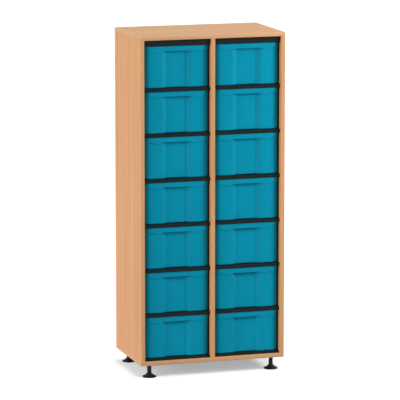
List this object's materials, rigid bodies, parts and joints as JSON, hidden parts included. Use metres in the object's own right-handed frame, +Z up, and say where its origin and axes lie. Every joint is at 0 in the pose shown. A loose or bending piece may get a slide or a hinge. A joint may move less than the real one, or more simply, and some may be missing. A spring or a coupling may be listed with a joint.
{
  "type": "tray drawer unit",
  "caption": "Tall beech-decor school cabinet with columns of blue-green pull-out plastic trays on black runners, standing on levelling feet.",
  "frame": {"origin": "on the floor under the middle of the carcass", "axes": "+Z up, the tray fronts face -Y, +X to the right when facing the fronts"},
  "size_m": [0.66, 0.404, 1.509],
  "materials": {
    "beech_upright": "beech decor, upright grain, satin",
    "beech_level": "beech decor, grain along the width, satin",
    "edging_upright": "beech decor edging, upright grain",
    "edging_level": "beech decor edging, grain along the width",
    "back_board": "beech decor, satin",
    "runner_plastic": "black, fine texture",
    "rail_plastic": "black, satin",
    "tray_plastic": "blue-green, satin",
    "foot_plastic": "black, matt",
    "foot_spindle": "black, satin",
    "steel": "zinc plated",
    "dowel_wood": "plain beech"
  },
  "bodies": {
    "carcass": {"left_side_panel": "beech_upright", "right_side_panel": "beech_upright", "centre_divider": "beech_upright", "top_panel": "beech_level", "bottom_panel": "beech_level", "left_side_edging": "edging_upright", "right_side_edging": "edging_upright", "divider_edging": "edging_upright", "top_edging": "edging_level", "bottom_edging": "edging_level", "back_panel": "back_board", "left_runner_left": "runner_plastic", "left_runner_right": "runner_plastic", "right_runner_left": "runner_plastic", "right_runner_right": "runner_plastic", "left_rail_0": "rail_plastic", "left_rail_1": "rail_plastic", "left_rail_2": "rail_plastic", "left_rail_3": "rail_plastic", "left_rail_4": "rail_plastic", "left_rail_5": "rail_plastic", "left_rail_6": "rail_plastic", "left_rail_7": "rail_plastic", "right_rail_0": "rail_plastic", "right_rail_1": "rail_plastic", "right_rail_2": "rail_plastic", "right_rail_3": "rail_plastic", "right_rail_4": "rail_plastic", "right_rail_5": "rail_plastic", "right_rail_6": "rail_plastic", "right_rail_7": "rail_plastic", "foot_inserts": "steel", "cam_bolts": "steel", "cam_discs": "steel", "runner_screws": "steel", "carcass_dowels": "dowel_wood"},
    "left_tray_1": {"left_tray_1": "tray_plastic"},
    "left_tray_2": {"left_tray_2": "tray_plastic"},
    "left_tray_3": {"left_tray_3": "tray_plastic"},
    "left_tray_4": {"left_tray_4": "tray_plastic"},
    "left_tray_5": {"left_tray_5": "tray_plastic"},
    "left_tray_6": {"left_tray_6": "tray_plastic"},
    "left_tray_7": {"left_tray_7": "tray_plastic"},
    "right_tray_1": {"right_tray_1": "tray_plastic"},
    "right_tray_2": {"right_tray_2": "tray_plastic"},
    "right_tray_3": {"right_tray_3": "tray_plastic"},
    "right_tray_4": {"right_tray_4": "tray_plastic"},
    "right_tray_5": {"right_tray_5": "tray_plastic"},
    "right_tray_6": {"right_tray_6": "tray_plastic"},
    "right_tray_7": {"right_tray_7": "tray_plastic"},
    "front_left_foot_base": {"front_left_foot_base": "foot_plastic"},
    "front_left_foot_spindle": {"front_left_foot_spindle": "foot_spindle"},
    "front_right_foot_base": {"front_right_foot_base": "foot_plastic"},
    "front_right_foot_spindle": {"front_right_foot_spindle": "foot_spindle"},
    "back_left_foot_base": {"back_left_foot_base": "foot_plastic"},
    "back_left_foot_spindle": {"back_left_foot_spindle": "foot_spindle"},
    "back_right_foot_base": {"back_right_foot_base": "foot_plastic"},
    "back_right_foot_spindle": {"back_right_foot_spindle": "foot_spindle"}
  },
  "joints": [
    {"name": "left_tray_1_slide", "type": "slide", "parent": "carcass", "child": "left_tray_1", "axis": [0, -1, 0], "range_m": [0, 0.25]},
    {"name": "left_tray_2_slide", "type": "slide", "parent": "carcass", "child": "left_tray_2", "axis": [0, -1, 0], "range_m": [0, 0.25]},
    {"name": "left_tray_3_slide", "type": "slide", "parent": "carcass", "child": "left_tray_3", "axis": [0, -1, 0], "range_m": [0, 0.25]},
    {"name": "left_tray_4_slide", "type": "slide", "parent": "carcass", "child": "left_tray_4", "axis": [0, -1, 0], "range_m": [0, 0.25]},
    {"name": "left_tray_5_slide", "type": "slide", "parent": "carcass", "child": "left_tray_5", "axis": [0, -1, 0], "range_m": [0, 0.25]},
    {"name": "left_tray_6_slide", "type": "slide", "parent": "carcass", "child": "left_tray_6", "axis": [0, -1, 0], "range_m": [0, 0.25]},
    {"name": "left_tray_7_slide", "type": "slide", "parent": "carcass", "child": "left_tray_7", "axis": [0, -1, 0], "range_m": [0, 0.25]},
    {"name": "right_tray_1_slide", "type": "slide", "parent": "carcass", "child": "right_tray_1", "axis": [0, -1, 0], "range_m": [0, 0.25]},
    {"name": "right_tray_2_slide", "type": "slide", "parent": "carcass", "child": "right_tray_2", "axis": [0, -1, 0], "range_m": [0, 0.25]},
    {"name": "right_tray_3_slide", "type": "slide", "parent": "carcass", "child": "right_tray_3", "axis": [0, -1, 0], "range_m": [0, 0.25]},
    {"name": "right_tray_4_slide", "type": "slide", "parent": "carcass", "child": "right_tray_4", "axis": [0, -1, 0], "range_m": [0, 0.25]},
    {"name": "right_tray_5_slide", "type": "slide", "parent": "carcass", "child": "right_tray_5", "axis": [0, -1, 0], "range_m": [0, 0.25]},
    {"name": "right_tray_6_slide", "type": "slide", "parent": "carcass", "child": "right_tray_6", "axis": [0, -1, 0], "range_m": [0, 0.25]},
    {"name": "right_tray_7_slide", "type": "slide", "parent": "carcass", "child": "right_tray_7", "axis": [0, -1, 0], "range_m": [0, 0.25]},
    {"name": "front_left_foot_level", "type": "slide", "parent": "carcass", "child": "front_left_foot_base", "axis": [0, 0, -1], "range_m": [0, 0.012]},
    {"name": "front_left_foot_turn", "type": "hinge", "parent": "front_left_foot_base", "child": "front_left_foot_spindle", "pos_m": [-0.282, -0.162, 0.03], "axis": [0, 0, -1], "range_deg": [0, 2880]},
    {"name": "front_right_foot_level", "type": "slide", "parent": "carcass", "child": "front_right_foot_base", "axis": [0, 0, -1], "range_m": [0, 0.012]},
    {"name": "front_right_foot_turn", "type": "hinge", "parent": "front_right_foot_base", "child": "front_right_foot_spindle", "pos_m": [0.282, -0.162, 0.03], "axis": [0, 0, -1], "range_deg": [0, 2880]},
    {"name": "back_left_foot_level", "type": "slide", "parent": "carcass", "child": "back_left_foot_base", "axis": [0, 0, -1], "range_m": [0, 0.012]},
    {"name": "back_left_foot_turn", "type": "hinge", "parent": "back_left_foot_base", "child": "back_left_foot_spindle", "pos_m": [-0.282, 0.162, 0.03], "axis": [0, 0, -1], "range_deg": [0, 2880]},
    {"name": "back_right_foot_level", "type": "slide", "parent": "carcass", "child": "back_right_foot_base", "axis": [0, 0, -1], "range_m": [0, 0.012]},
    {"name": "back_right_foot_turn", "type": "hinge", "parent": "back_right_foot_base", "child": "back_right_foot_spindle", "pos_m": [0.282, 0.162, 0.03], "axis": [0, 0, -1], "range_deg": [0, 2880]}
  ],
  "couplings": [
    {"joint": "front_left_foot_turn", "follows": "front_left_foot_level", "rad_per_m": 4188.8},
    {"joint": "front_right_foot_turn", "follows": "front_right_foot_level", "rad_per_m": 4188.8},
    {"joint": "back_left_foot_turn", "follows": "back_left_foot_level", "rad_per_m": 4188.8},
    {"joint": "back_right_foot_turn", "follows": "back_right_foot_level", "rad_per_m": 4188.8}
  ]
}
